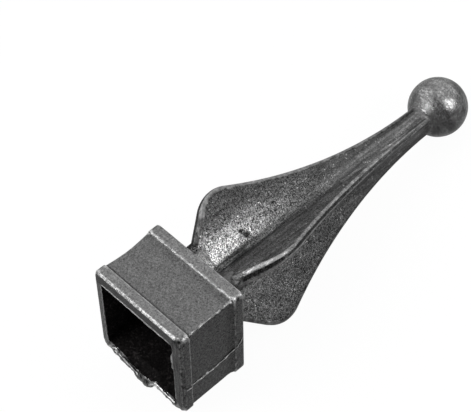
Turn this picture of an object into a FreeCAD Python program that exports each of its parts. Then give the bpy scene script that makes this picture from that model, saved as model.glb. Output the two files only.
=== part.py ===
import FreeCAD, Part
import math
import os
import Sketcher

# Railing spear finial, one hollow-socketed iron casting, in millimetres.
# z runs up the axis: socket mouth at 0, four-finned spear above it, ball on top.
# x and y are square to the socket faces, the fins stand on the diagonals.

doc = FreeCAD.newDocument("railing_spear_finial")

# Driving sizes
SIZES = [
    ("bar_side", 20.0, "side of the square bar that the socket takes"),
    ("band_wall", 2.65, "bar's side to the outside of the two raised bands"),
    ("band_ledge", 0.4, "width of the ledge where the bands stand out from the wall"),
    ("mould_gap", 0.5, "how far the +y half of the mould stood off when cast"),
    ("socket_height", 17.2, "socket mouth to collar top"),
    ("mouth_band", 2.7, "height of the band at the mouth"),
    ("collar_band", 2.6, "height of the collar band"),
    ("collar_cove", 1.5, "height of the slope from the wall out to the collar"),
    ("socket_corner", 1.3, "radius of the socket's upright corners"),
    ("band_edge", 0.35, "rounding of the bands' edges"),
    ("bar_play_x", 0.9, "clearance of the bar in the mouth across x"),
    ("bar_play_y", 0.6, "clearance of the bar in the mouth across y"),
    ("bore_shift_x", 0.5, "core moved towards -x"),
    ("bore_shift_y", 0.75, "core moved towards +y"),
    ("roof_wall", 3.6, "thickness of the wall between the hollow and the collar top"),
    ("bore_corner", 0.6, "radius of the hollow's upright corners"),
    ("bore_draft", 0.5, "draft of the hollow's walls in degrees"),
    ("fin_reach", 16.3, "axis to the fin edge at the shoulder"),
    ("shoulder_height", 31.4, "height of the widest point of the fins"),
    ("shoulder_round", 7.4, "radius of the fin's shoulder"),
    ("root_reach", 4.78, "axis to the foot of the fin's straight lower edge"),
    ("neck_reach", 3.45, "axis to the fin edge in the neck"),
    ("neck_run", 5.6, "length of the straight neck, down from the ball's centre"),
    ("edge_half", 0.55, "half thickness of the fin edge"),
    ("root_half", 1.45, "half thickness of the fin edge at its foot"),
    ("edge_bevel", 0.28, "bevel left by fettling along the fin edges"),
    ("valley", 3.5, "axis to the bottom of the valleys low on the spear"),
    ("neck_groove", 0.95, "depth of the valleys in the neck, in from the fin edge"),
    ("valley_round", 1.8, "radius cast into the valleys between the fins"),
    ("foot_reach", 9.95, "axis to the corner of the foot under each fin"),
    ("foot_height", 5.0, "height of the feet above the collar top"),
    ("foot_ledge", 0.1, "width of the ledge where the feet stand out from the fins"),
    ("root_sink", 1.0, "depth the fins and feet run into the collar"),
    ("ball_height", 91.6, "height of the ball's centre"),
    ("ball_radius", 6.86, "radius of the ball"),
    ("ball_cove", 1.0, "radius of the cove under the ball"),
    ("cove_sink", 0.15, "how far the cove starts inside the fin edges of the neck"),
    ("lip_rise", 3.05, "how far the ragged lip stands off the +y side of the mouth"),
    ("lip_height", 2.5, "height of the ragged lip"),
    ("scoop_rise", 2.15, "how far the mouth bulges out into the lip"),
    ("scoop_skin", 0.3, "metal left between the bulge and the top of the lip"),
]
size = {name: value for name, value, note in SIZES}

sheet = doc.addObject("Spreadsheet::Sheet", "sizes")
sheet.set("A1", "name")
sheet.set("B1", "value")
sheet.set("C1", "meaning")
for row, (name, value, note) in enumerate(SIZES, start=2):
    sheet.set("A%d" % row, name)
    sheet.set("B%d" % row, str(value))
    sheet.set("C%d" % row, note)
    sheet.setAlias("B%d" % row, name)
doc.recompute()

body = doc.addObject("PartDesign::Body", "finial_casting")
body.Label = "finial_casting"


def cell(name):
    return "sizes." + name


def plane(role):
    for feature in body.Origin.OriginFeatures:
        if feature.Role == role:
            return feature
    raise RuntimeError("no plane " + role)


def new_sketch(name, role, turn=0.0, height=None):
    sketch = body.newObject("Sketcher::SketchObject", name)
    sketch.AttachmentSupport = [(plane(role), "")]
    sketch.MapMode = "FlatFace"
    sketch.AttachmentOffset = FreeCAD.Placement(
        FreeCAD.Vector(0, 0, 0),
        FreeCAD.Rotation(FreeCAD.Vector(0, 0, 1), turn))
    if height is not None:
        sketch.setExpression("AttachmentOffset.Base.z", height)
    return sketch


def polygon(sketch, points):
    lines = []
    for start, end in zip(points, points[1:] + points[:1]):
        line = Part.LineSegment(FreeCAD.Vector(*start, 0), FreeCAD.Vector(*end, 0))
        lines.append(sketch.addGeometry(line))
    for here, there in zip(lines, lines[1:] + lines[:1]):
        sketch.addConstraint(Sketcher.Constraint("Coincident", here, 2, there, 1))
    return lines


def bound(sketch, name, constraint, expression):
    index = sketch.addConstraint(constraint)
    sketch.renameConstraint(index, name)
    sketch.setExpression("Constraints." + name, expression)
    return index


def rounded_oblong(sketch, left, right, low, high, corner):
    # four sides set out from the axis, each pair joined by a quarter round
    x0, x1, y0, y1, r = -12.0, 12.0, -12.0, 12.0, 1.0
    v = FreeCAD.Vector
    up = v(0, 0, 1)
    south = sketch.addGeometry(Part.LineSegment(v(x0 + r, y0, 0), v(x1 - r, y0, 0)))
    east = sketch.addGeometry(Part.LineSegment(v(x1, y0 + r, 0), v(x1, y1 - r, 0)))
    north = sketch.addGeometry(Part.LineSegment(v(x1 - r, y1, 0), v(x0 + r, y1, 0)))
    west = sketch.addGeometry(Part.LineSegment(v(x0, y1 - r, 0), v(x0, y0 + r, 0)))
    arcs = []
    for cx, cy, turn in ((x1 - r, y0 + r, 270), (x1 - r, y1 - r, 0),
                         (x0 + r, y1 - r, 90), (x0 + r, y0 + r, 180)):
        circle = Part.Circle(v(cx, cy, 0), up, r)
        arc = Part.ArcOfCircle(circle, math.radians(turn), math.radians(turn + 90))
        arcs.append(sketch.addGeometry(arc))
    sides = [south, east, north, west]
    for i, arc in enumerate(arcs):
        after = sides[(i + 1) % 4]
        sketch.addConstraint(Sketcher.Constraint("Tangent", sides[i], 2, arc, 1))
        sketch.addConstraint(Sketcher.Constraint("Tangent", arc, 2, after, 1))
    sketch.addConstraint(Sketcher.Constraint("Horizontal", south))
    sketch.addConstraint(Sketcher.Constraint("Vertical", east))
    sketch.addConstraint(Sketcher.Constraint("Horizontal", north))
    sketch.addConstraint(Sketcher.Constraint("Vertical", west))
    for arc in arcs[1:]:
        sketch.addConstraint(Sketcher.Constraint("Equal", arcs[0], arc))
    bound(sketch, "corner", Sketcher.Constraint("Radius", arcs[0], r), corner)
    bound(sketch, "right", Sketcher.Constraint("DistanceX", -1, 1, east, 1, x1), right)
    bound(sketch, "left", Sketcher.Constraint("DistanceX", west, 1, -1, 1, -x0), left)
    bound(sketch, "high", Sketcher.Constraint("DistanceY", -1, 1, north, 1, y1), high)
    bound(sketch, "low", Sketcher.Constraint("DistanceY", south, 1, -1, 1, -y0), low)


def pad(name, profile, length, reverse=False):
    feature = body.newObject("PartDesign::Pad", name)
    feature.Profile = profile
    feature.Length = 1.0
    feature.setExpression("Length", length)
    feature.Reversed = reverse
    return feature


def valid(feature):
    doc.recompute()
    shape = feature.Shape
    bad = [s for s in feature.State if s in ("Invalid", "Error")]
    if bad or shape.isNull() or not shape.isValid() or len(shape.Solids) != 1:
        raise RuntimeError("%s is not one good solid: %s" % (feature.Name, feature.State))
    return shape


# Fin outline, from seven values
# The lower edge leans out as a straight line, turns over a round shoulder and
# sweeps up along one hollow arc that ends upright in the neck. The line touches
# the shoulder, which fixes its lean, and so does the arc, which fixes its radius.
root = "(%s - %s)" % (cell("socket_height"), cell("root_sink"))
shoulder_axis = "(%s - %s)" % (cell("fin_reach"), cell("shoulder_round"))
out_run = "(%s - %s)" % (shoulder_axis, cell("root_reach"))
up_run = "(%s - %s)" % (cell("shoulder_height"), root)
lean = "(atan(%s / %s) + asin(%s / sqrt(%s^2 + %s^2)))" % (
    out_run, up_run, cell("shoulder_round"), out_run, up_run)
neck_height = "(%s - %s)" % (cell("ball_height"), cell("neck_run"))
neck_valley = "(%s - %s)" % (cell("neck_reach"), cell("neck_groove"))
hollow = "(%s - %s)" % (cell("neck_reach"), shoulder_axis)
rise = "(%s - %s)" % (neck_height, cell("shoulder_height"))
sweep = "((%s^2 + %s^2 - %s^2) / (2 * (%s - %s)))" % (
    hollow, rise, cell("shoulder_round"), cell("shoulder_round"), hollow)
line_top = "(%s - %s * sin(%s))" % (cell("shoulder_height"), cell("shoulder_round"), lean)
line_reach = "(%s + %s * cos(%s))" % (shoulder_axis, cell("shoulder_round"), lean)
touch = "asin(%s / (%s + %s))" % (rise, cell("shoulder_round"), sweep)
sweep_foot = "(%s + %s * sin(%s))" % (cell("shoulder_height"), cell("shoulder_round"), touch)
neck_end = "(%s - 0.25 * %s)" % (cell("ball_height"), cell("ball_radius"))


def on_line(part):
    z = "(%s + %s * (%s - %s))" % (root, part, line_top, root)
    return z, "(%s - (%s - %s) * tan(%s))" % (line_reach, line_top, z, lean)


def on_shoulder(part):
    turn = "(%s * (%s + %s) - %s)" % (part, lean, touch, lean)
    z = "(%s + %s * sin(%s))" % (cell("shoulder_height"), cell("shoulder_round"), turn)
    return z, "(%s + %s * cos(%s))" % (shoulder_axis, cell("shoulder_round"), turn)


def on_sweep(part):
    z = "(%s + %s * (%s - %s))" % (sweep_foot, part, neck_height, sweep_foot)
    drop = "(%s - %s)" % (neck_height, z)
    reach = "(%s + %s - sqrt(%s^2 - %s^2))" % (cell("neck_reach"), sweep, sweep, drop)
    return z, reach


# Stations up the spear: place, share of the foot's extra thickness, and share of
# the way from the deep valley low down to the shallow one in the neck
root_stations = [
    (on_line(0.0), 1.0, 0.0),
    (on_line(1.0), 0.70, 0.0),
]
spear_stations = [
    (on_line(1.0), 0.70, 0.0),
    (on_shoulder(0.2), 0.35, 0.0),
    (on_shoulder(0.4), 0.15, 0.0),
    (on_shoulder(0.6), 0.05, 0.0),
    (on_shoulder(0.8), 0.0, 0.0),
    (on_shoulder(1.0), 0.0, 0.0),
    (on_sweep(0.09), 0.0, 0.09),
    (on_sweep(0.20), 0.0, 0.20),
    (on_sweep(0.34), 0.0, 0.34),
    (on_sweep(0.50), 0.0, 0.50),
    (on_sweep(0.68), 0.0, 0.68),
    (on_sweep(0.85), 0.0, 0.85),
    (on_sweep(1.0), 0.0, 1.0),
    ((neck_end, cell("neck_reach")), 0.0, 1.0),
]
CHORDS = 4  # straight runs that make up each valley's round


def star(name, height, reach, share, rise_share):
    # four wedge fins with bevelled edges and round valleys between them, turned onto
    # the diagonals so that the sketch's own axes run through the fins
    sketch = new_sketch(name, "XY_Plane", 45.0, height)
    half = "(%s + %s * (%s - %s))" % (cell("edge_half"), share, cell("root_half"), cell("edge_half"))
    inner = "(%s - %s)" % (reach, cell("edge_bevel"))
    land = "(%s - %s)" % (half, cell("edge_bevel"))
    floor = "(%s + %s * (%s - %s))" % (cell("valley"), rise_share, neck_valley, cell("valley"))
    centre = "((%s + %s) * cos(45))" % (floor, cell("valley_round"))

    # starting shape close to the solved one
    r_edge = sketch.evalExpression(reach)
    r_flank = sketch.evalExpression(inner)
    t_flank = sketch.evalExpression(half)
    t_edge = sketch.evalExpression(land)
    k = sketch.evalExpression(centre)
    round_r = size["valley_round"]
    span = math.hypot(r_flank - k, t_flank - k)
    aim = math.atan2(k - t_flank, k - r_flank) + math.asin(round_r / span)
    run = math.sqrt(span ** 2 - round_r ** 2)
    touch_u = r_flank + run * math.cos(aim)
    touch_v = t_flank + run * math.sin(aim)

    outline = []
    for fin_number in range(4):
        turn = FreeCAD.Rotation(FreeCAD.Vector(0, 0, 1), 90 * fin_number)

        def at(u, v):
            return turn.multVec(FreeCAD.Vector(u, v, 0))

        corners = [at(r_flank, -t_flank), at(r_edge, -t_edge), at(r_edge, t_edge),
                   at(r_flank, t_flank), at(touch_u, touch_v)]
        lines = [sketch.addGeometry(Part.LineSegment(p, q)) for p, q in zip(corners, corners[1:])]
        first = math.atan2(touch_u - k, touch_v - k)
        last = math.atan2(touch_v - k, touch_u - k)
        quarter = math.radians(90 * fin_number)
        circle = Part.Circle(at(k, k), FreeCAD.Vector(0, 0, 1), round_r)
        valley = sketch.addGeometry(Part.ArcOfCircle(circle, first + quarter, last + quarter))
        sketch.toggleConstruction(valley)
        stops = [last + (first - last) * i / CHORDS for i in range(CHORDS + 1)]
        spots = [at(k + round_r * math.cos(a), k + round_r * math.sin(a)) for a in stops]
        chords = [sketch.addGeometry(Part.LineSegment(p, q)) for p, q in zip(spots, spots[1:])]
        back = sketch.addGeometry(Part.LineSegment(at(touch_v, touch_u), at(t_flank, r_flank)))
        outline.append(lines + [valley, chords, back])
    for fin_number, (bevel_a, edge, bevel_b, flank, valley, chords, back) in enumerate(outline):
        following = outline[(fin_number + 1) % 4][0]
        run_of_lines = [bevel_a, edge, bevel_b, flank] + chords + [back, following]
        for here, there in zip(run_of_lines, run_of_lines[1:]):
            sketch.addConstraint(Sketcher.Constraint("Coincident", here, 2, there, 1))
        sketch.addConstraint(Sketcher.Constraint("Tangent", flank, 2, valley, 2))
        sketch.addConstraint(Sketcher.Constraint("Tangent", valley, 1, back, 1))
        for here, there in zip(chords, chords[1:]):
            sketch.addConstraint(Sketcher.Constraint("PointOnObject", there, 1, valley))
            sketch.addConstraint(Sketcher.Constraint("Equal", here, there))
        bound(sketch, "round_%d" % fin_number, Sketcher.Constraint("Radius", valley, round_r),
              cell("valley_round"))
        along_u = fin_number % 2 == 0
        forward = fin_number < 2
        axis = -1 if along_u else -2
        sketch.addConstraint(Sketcher.Constraint("Symmetric", edge, 1, edge, 2, axis))
        sketch.addConstraint(Sketcher.Constraint("Symmetric", bevel_a, 1, bevel_b, 2, axis))
        out = "DistanceX" if along_u else "DistanceY"
        across = "DistanceY" if along_u else "DistanceX"

        def gap(kind, near, far, value):
            pair = near + far if forward else far + near
            return Sketcher.Constraint(kind, *pair, value)

        bound(sketch, "reach_%d" % fin_number, gap(out, (-1, 1), (edge, 1), r_edge), reach)
        bound(sketch, "inner_%d" % fin_number, gap(out, (-1, 1), (bevel_a, 1), r_flank), inner)
        low_high = fin_number in (0, 3)
        thick = (bevel_a, 1, bevel_b, 2) if low_high else (bevel_b, 2, bevel_a, 1)
        face = (edge, 1, edge, 2) if low_high else (edge, 2, edge, 1)
        bound(sketch, "thick_%d" % fin_number,
              Sketcher.Constraint(across, *thick, 2 * t_flank), "2 * %s" % half)
        bound(sketch, "face_%d" % fin_number,
              Sketcher.Constraint(across, *face, 2 * t_edge), "2 * %s" % land)
        x_out = fin_number in (0, 3)
        y_out = fin_number in (0, 1)
        pair_x = (-1, 1, valley, 3) if x_out else (valley, 3, -1, 1)
        pair_y = (-1, 1, valley, 3) if y_out else (valley, 3, -1, 1)
        bound(sketch, "centre_x_%d" % fin_number,
              Sketcher.Constraint("DistanceX", *pair_x, k), centre)
        bound(sketch, "centre_y_%d" % fin_number,
              Sketcher.Constraint("DistanceY", *pair_y, k), centre)
    return sketch


def spear_part(name, stations, ruled):
    sections = []
    for number, ((height, reach), share, rise_share) in enumerate(stations, start=1):
        sections.append(star("%s_section_%02d" % (name, number), height, reach, share, rise_share))
    doc.recompute()
    loft = body.newObject("PartDesign::AdditiveLoft", name)
    loft.Profile = sections[0]
    loft.Sections = sections[1:]
    loft.Ruled = ruled
    valid(loft)
    return loft


spear_root = spear_part("spear_root", root_stations, True)
spear = spear_part("spear", spear_stations, False)

axis_z = [f for f in body.Origin.OriginFeatures if f.Role == "Z_Axis"][0]


def around(name, original, count, angle):
    pattern = body.newObject("PartDesign::PolarPattern", name)
    pattern.Originals = [original]
    pattern.Axis = (axis_z, [""])
    pattern.Angle = angle
    pattern.Occurrences = count
    body.Tip = pattern
    return pattern


def edges_where(shape, test):
    names = []
    for index, edge in enumerate(shape.Edges, start=1):
        middle = edge.valueAt((edge.FirstParameter + edge.LastParameter) / 2)
        if test(edge, middle):
            names.append("Edge%d" % index)
    return names


def round_edges(name, base, names, radius):
    fillet = body.newObject("PartDesign::Fillet", name)
    fillet.Base = (base, names)
    fillet.Radius = 0.1
    fillet.setExpression("Radius", radius)
    return fillet


# Feet: a pointed bar across each diagonal, its 90 degree nose under the fin edge
foot_half = "(%s + %s)" % (cell("root_half"), cell("foot_ledge"))
foot_sketch = new_sketch("foot_sketch", "XY_Plane", 45.0, root)
bar = polygon(foot_sketch, [(-9, 0), (-8, -1), (8, -1), (9, 0), (8, 1), (-8, 1)])
nose_a, side_a, nose_b, nose_c, side_b, nose_d = bar
foot_sketch.addConstraint(Sketcher.Constraint("PointOnObject", nose_a, 1, -1))
foot_sketch.addConstraint(Sketcher.Constraint("Symmetric", nose_a, 1, nose_b, 2, -1, 1))
foot_sketch.addConstraint(Sketcher.Constraint("Symmetric", side_a, 1, side_a, 2, -2))
foot_sketch.addConstraint(Sketcher.Constraint("Symmetric", side_a, 2, side_b, 1, -1))
foot_sketch.addConstraint(Sketcher.Constraint("Symmetric", side_b, 1, side_b, 2, -2))
bound(foot_sketch, "reach", Sketcher.Constraint("DistanceX", -1, 1, nose_b, 2, 9.0),
      cell("foot_reach"))
bound(foot_sketch, "nose", Sketcher.Constraint("DistanceX", side_a, 2, nose_b, 2, 1.0),
      foot_half)
bound(foot_sketch, "half", Sketcher.Constraint("DistanceY", side_a, 2, -1, 1, 1.0),
      foot_half)
foot = pad("foot", foot_sketch, "%s + %s" % (cell("foot_height"), cell("root_sink")))
valid(foot)
feet = around("feet", foot, 2, 90)
valid(feet)

# Socket wall, mouth band and collar
half_band = "(%s / 2 + %s)" % (cell("bar_side"), cell("band_wall"))
half_plain = "(%s - %s)" % (half_band, cell("band_ledge"))
inner_corner = "(%s - %s)" % (cell("socket_corner"), cell("band_ledge"))


def square_sketch(name, half, corner, height):
    sketch = new_sketch(name, "XY_Plane", 0.0, height)
    rounded_oblong(sketch, half, half, half, "(%s + %s)" % (half, cell("mould_gap")), corner)
    return sketch


wall_sketch = square_sketch("wall_sketch", half_plain, inner_corner, "0")
wall = pad("wall", wall_sketch, cell("socket_height"))
valid(wall)
band_sketch = square_sketch("mouth_band_sketch", half_band, cell("socket_corner"), "0")
mouth_band = pad("mouth_band", band_sketch, cell("mouth_band"))
valid(mouth_band)
collar_low = "(%s - %s)" % (cell("socket_height"), cell("collar_band"))
cove_foot = square_sketch("cove_foot_sketch", half_plain, inner_corner,
                          "(%s - %s)" % (collar_low, cell("collar_cove")))
cove_head = square_sketch("cove_head_sketch", half_band, cell("socket_corner"), collar_low)
cove = body.newObject("PartDesign::AdditiveLoft", "collar_cove")
cove.Profile = cove_foot
cove.Sections = [cove_head]
cove.Ruled = True
valid(cove)
collar_sketch = square_sketch("collar_sketch", half_band, cell("socket_corner"), collar_low)
collar = pad("collar", collar_sketch, cell("collar_band"))
shape = valid(collar)


def on_rim(edge, middle):
    # outer loops of the bands: mouth face, top of the mouth band, collar top
    levels = (0.0, size["mouth_band"], size["socket_height"])
    if min(abs(middle.z - z) for z in levels) > 0.001 or edge.BoundBox.ZLength > 0.001:
        return False
    if edge.Curve.TypeId == "Part::GeomCircle":
        return abs(edge.Curve.Radius - size["socket_corner"]) < 0.001
    out = max(abs(middle.x), -middle.y, middle.y - size["mould_gap"])
    return abs(out - size["bar_side"] / 2 - size["band_wall"]) < 0.001


rims = edges_where(shape, on_rim)
rim_round = "min(%s; 0.9 * %s)" % (cell("band_edge"), cell("band_ledge"))
band_edges = round_edges("band_edges", collar, rims, rim_round)
valid(band_edges)

# Ball and the cove under it, one turned profile
# The cove starts just inside the fin edges; below it a cone runs in to the valleys.
ball_sketch = new_sketch("ball_sketch", "XZ_Plane")
centre_z = size["ball_height"]
ball_r = size["ball_radius"]
cove_r = size["ball_cove"]
neck_r = size["neck_reach"] - size["cove_sink"]
cove_z = centre_z - math.sqrt((ball_r + cove_r) ** 2 - (neck_r + cove_r) ** 2)
tilt = math.atan2(centre_z - cove_z, neck_r + cove_r)
up = FreeCAD.Vector(0, 0, 1)
ball_arc = ball_sketch.addGeometry(Part.ArcOfCircle(
    Part.Circle(FreeCAD.Vector(0, centre_z, 0), up, ball_r), -tilt, math.pi / 2))
cove_arc = ball_sketch.addGeometry(Part.ArcOfCircle(
    Part.Circle(FreeCAD.Vector(neck_r + cove_r, cove_z, 0), up, cove_r), math.pi - tilt, math.pi))
drop = size["neck_groove"]
corners = [FreeCAD.Vector(neck_r, cove_z, 0), FreeCAD.Vector(neck_r - drop, cove_z - drop, 0),
           FreeCAD.Vector(0, cove_z - drop, 0), FreeCAD.Vector(0, centre_z + ball_r, 0)]
cone, base_line, ball_axis = [
    ball_sketch.addGeometry(Part.LineSegment(p, q)) for p, q in zip(corners, corners[1:])]
for join in ((cove_arc, 2, cone, 1), (cone, 2, base_line, 1), (base_line, 2, ball_axis, 1),
             (ball_axis, 2, ball_arc, 2)):
    ball_sketch.addConstraint(Sketcher.Constraint("Coincident", *join))
ball_sketch.addConstraint(Sketcher.Constraint("Tangent", ball_arc, 1, cove_arc, 1))
ball_sketch.addConstraint(Sketcher.Constraint("Horizontal", cove_arc, 2, cove_arc, 3))
ball_sketch.addConstraint(Sketcher.Constraint("Horizontal", base_line))
ball_sketch.addConstraint(Sketcher.Constraint("PointOnObject", ball_arc, 3, -2))
ball_sketch.addConstraint(Sketcher.Constraint("PointOnObject", ball_axis, 1, -2))
ball_sketch.addConstraint(Sketcher.Constraint("PointOnObject", ball_axis, 2, -2))
bound(ball_sketch, "radius", Sketcher.Constraint("Radius", ball_arc, ball_r), cell("ball_radius"))
bound(ball_sketch, "height", Sketcher.Constraint("DistanceY", -1, 1, ball_arc, 3, centre_z),
      cell("ball_height"))
bound(ball_sketch, "cove", Sketcher.Constraint("Radius", cove_arc, cove_r), cell("ball_cove"))
bound(ball_sketch, "neck", Sketcher.Constraint("DistanceX", -1, 1, cove_arc, 2, neck_r),
      "%s - %s" % (cell("neck_reach"), cell("cove_sink")))
bound(ball_sketch, "cone_in", Sketcher.Constraint("DistanceX", cone, 2, cone, 1, drop),
      cell("neck_groove"))
bound(ball_sketch, "cone_down", Sketcher.Constraint("DistanceY", cone, 2, cone, 1, drop),
      cell("neck_groove"))
ball = body.newObject("PartDesign::Revolution", "ball")
ball.Profile = ball_sketch
ball.ReferenceAxis = (axis_z, [""])
ball.Angle = 360
valid(ball)

# Ragged lip on the +y side of the mouth, as the casting came out
# Each point is a share of the half width from the axis and a share of the lip's rise
# off the face; the first two lie in the middle of the wall.


def ragged(name, points, half_width, face, rise, middle):
    sketch = new_sketch(name, "XY_Plane")
    start = []
    for across, off in points:
        high = middle if off is None else "(%s + %s * %s)" % (face, off, rise)
        start.append((across * sketch.evalExpression(half_width), sketch.evalExpression(high), high))
    lines = polygon(sketch, [(x, y) for x, y, high in start])
    for number, (line, (across, off), (x, y, high)) in enumerate(zip(lines, points, start)):
        ends = (line, 1, -1, 1) if x < 0 else (-1, 1, line, 1)
        bound(sketch, "across_%d" % number, Sketcher.Constraint("DistanceX", *ends, abs(x)),
              "%s * %s" % (abs(across), half_width))
        bound(sketch, "off_%d" % number, Sketcher.Constraint("DistanceY", -1, 1, line, 1, y), high)
    return sketch


band_face = "(%s + %s)" % (half_band, cell("mould_gap"))
half_bore_x = "((%s + %s) / 2)" % (cell("bar_side"), cell("bar_play_x"))
half_bore_y = "((%s + %s) / 2)" % (cell("bar_side"), cell("bar_play_y"))
bore_face = "(%s + %s)" % (half_bore_y, cell("bore_shift_y"))
wall_middle = "((%s + %s) / 2)" % (band_face, bore_face)
LIP = [(-0.96, None), (0.96, None), (0.89, 0.08), (0.78, 0.34), (0.63, 0.25), (0.44, 0.05),
       (0.32, 0.05), (0.25, 0.67), (0.05, 1.0), (-0.13, 0.74), (-0.47, 0.70), (-0.76, 0.25),
       (-0.92, 0.15)]
lip_sketch = ragged("lip_sketch", LIP, half_band, band_face, cell("lip_rise"), wall_middle)
lip = pad("lip", lip_sketch, cell("lip_height"))
valid(lip)

# Square hollow for the bar, drafted, its core a little off the axis
bore_sketch = new_sketch("bore_sketch", "XY_Plane")
rounded_oblong(
    bore_sketch,
    "%s + %s" % (half_bore_x, cell("bore_shift_x")),
    "%s - %s" % (half_bore_x, cell("bore_shift_x")),
    "%s - %s" % (half_bore_y, cell("bore_shift_y")),
    bore_face,
    cell("bore_corner"))
before = lip.Shape.Volume
bore = body.newObject("PartDesign::Pocket", "bore")
bore.Profile = bore_sketch
bore.Type = "Length"
bore.setExpression("Length", "%s - %s" % (cell("socket_height"), cell("roof_wall")))
bore.setExpression("TaperAngle", "-%s" % cell("bore_draft"))
bore.Reversed = True
shape = valid(bore)
cut = before - shape.Volume
full = (size["bar_side"] + size["bar_play_x"]) * (size["bar_side"] + size["bar_play_y"]) * (
    size["socket_height"] - size["roof_wall"])
if not 0.85 * full < cut < full:
    raise RuntimeError("the hollow took %.0f of %.0f cubic mm" % (cut, full))

# Bulge of the mouth into the lip, as ragged as the lip outside it
inside_bore = "(%s - %s)" % (bore_face, cell("scoop_skin"))
SCOOP = [(-0.65, None), (0.37, None), (0.34, 0.0), (0.18, 0.72), (-0.10, 1.0), (-0.44, 0.63),
         (-0.61, 0.07)]
scoop_sketch = ragged("scoop_sketch", SCOOP, half_bore_x, bore_face, cell("scoop_rise"), inside_bore)
before = bore.Shape.Volume
scoop = body.newObject("PartDesign::Pocket", "scoop")
scoop.Profile = scoop_sketch
scoop.Type = "Length"
scoop.setExpression("Length", "%s - %s" % (cell("lip_height"), cell("scoop_skin")))
scoop.Reversed = True
shape = valid(scoop)
if not before - shape.Volume > 5:
    raise RuntimeError("the bulge in the mouth took nothing")

# Check every object, then write the one casting
for thing in doc.Objects:
    if "Invalid" in thing.State or "Error" in thing.State:
        raise RuntimeError("%s is %s" % (thing.Name, thing.State))
body.Tip = scoop
doc.recompute()
if body.Shape.isNull() or not body.Shape.isValid():
    raise RuntimeError("the casting is not valid")
os.makedirs("parts", exist_ok=True)
body.Shape.exportStep("parts/finial_casting.step")
box = body.Shape.BoundBox
print("casting %.1f x %.1f x %.1f mm, %.0f cubic mm" % (
    box.XLength, box.YLength, box.ZLength, body.Shape.Volume))
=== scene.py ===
import math

import bpy
import numpy as np
from mathutils import Matrix, Vector


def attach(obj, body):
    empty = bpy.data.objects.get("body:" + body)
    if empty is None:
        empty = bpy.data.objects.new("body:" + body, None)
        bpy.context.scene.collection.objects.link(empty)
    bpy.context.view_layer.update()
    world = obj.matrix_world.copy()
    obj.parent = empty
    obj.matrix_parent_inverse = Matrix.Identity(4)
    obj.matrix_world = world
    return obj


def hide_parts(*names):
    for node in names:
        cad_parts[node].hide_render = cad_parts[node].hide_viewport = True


# Railing spear finial, one iron casting. Sizes below are in millimetres and the meshes in
# metres. The mouth of the socket lies at z = 0 and the spear's axis is z.
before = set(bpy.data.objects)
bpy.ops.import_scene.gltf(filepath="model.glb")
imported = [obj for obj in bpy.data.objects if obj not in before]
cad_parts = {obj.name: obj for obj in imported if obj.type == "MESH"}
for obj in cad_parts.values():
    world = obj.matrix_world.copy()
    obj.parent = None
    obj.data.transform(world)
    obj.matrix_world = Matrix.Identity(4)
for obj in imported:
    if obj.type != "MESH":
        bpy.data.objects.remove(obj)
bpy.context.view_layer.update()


# Spear: four wedge fins at quarter turns round the axis, cast with the socket. Each fin's
# edge leans out as a straight line, turns over a round shoulder and sweeps in to the neck,
# and a round valley joins each fin to the next. The heights count from the mouth.
MM = 0.001
SPEAR = {
    "Root reach": 4.78, "Root height": 16.2, "Fin reach": 16.3, "Shoulder height": 31.4,
    "Shoulder round": 7.4, "Neck reach": 3.45, "Neck height": 86.0, "Top height": 88.6,
    "Edge half": 0.78, "Root half": 1.5, "Bevel": 0.46, "Root bevel": 0.85, "Burr": 0.17,
    "Valley": 3.5, "Neck valley": 2.5, "Valley round": 1.8,
}
SPEAR_ROWS, QUARTER_COLUMNS = 188, 61
# shares of a fin's half section at which its edge, its bevel and its flank end
FACE_END, BEVEL_END, FLANK_END = 0.066, 0.133, 0.8
BURR_AT, BURR_WIDTH = 0.1, 0.034


class Nodes:
    """A node tree with short calls for its sums."""

    def __init__(self, tree):
        self.tree = tree
        self.nodes = tree.nodes

    def feed(self, socket, value):
        if isinstance(value, bpy.types.NodeSocket):
            self.tree.links.new(value, socket)
        else:
            socket.default_value = value

    def add(self, kind, settings=None, **inputs):
        node = self.nodes.new(kind)
        for key, value in (settings or {}).items():
            setattr(node, key, value)
        for key, value in inputs.items():
            self.feed(node.inputs[key.replace("_", " ")], value)
        return node

    def sum(self, operation, *values):
        node = self.add("ShaderNodeMath", {"operation": operation})
        for socket, value in zip(node.inputs, values):
            self.feed(socket, value)
        return node.outputs[0]

    def greatest(self, first, second):
        return self.sum("MAXIMUM", first, second)

    def times(self, value, *others):
        for other in others:
            value = self.sum("MULTIPLY", value, other)
        return value

    def less(self, mask, share):
        """1 where the mask is 0, and down by the share where it is 1."""
        return self.sum("SUBTRACT", 1.0, self.times(mask, share))

    def more(self, mask, share):
        return self.sum("ADD", 1.0, self.times(mask, share))

    def ramp(self, value, low, high, least=0.0, most=1.0):
        """From least at low to most at high, level on both sides of them."""
        node = self.add("ShaderNodeMapRange", Value=value)
        for name, number in (("From Min", low), ("From Max", high), ("To Min", least), ("To Max", most)):
            self.feed(node.inputs[name], number)
        return node.outputs["Result"]

    def rise(self, value, low, high, least=0.0, most=1.0):
        """A ramp between two lengths in millimetres."""
        return self.ramp(value, low * MM, high * MM, least, most)

    def between(self, share, first, second):
        node = self.add("ShaderNodeMix", {"data_type": "FLOAT"})
        for name, value in (("Factor", share), ("A", first), ("B", second)):
            self.feed(next(i for i in node.inputs if i.name == name and i.type == "VALUE"), value)
        return next(o for o in node.outputs if o.type == "VALUE")

    def gap(self, place, centre):
        node = self.add("ShaderNodeVectorMath", {"operation": "DISTANCE"}, Vector=place)
        self.feed(node.inputs[1], centre)
        return node.outputs["Value"]


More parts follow.
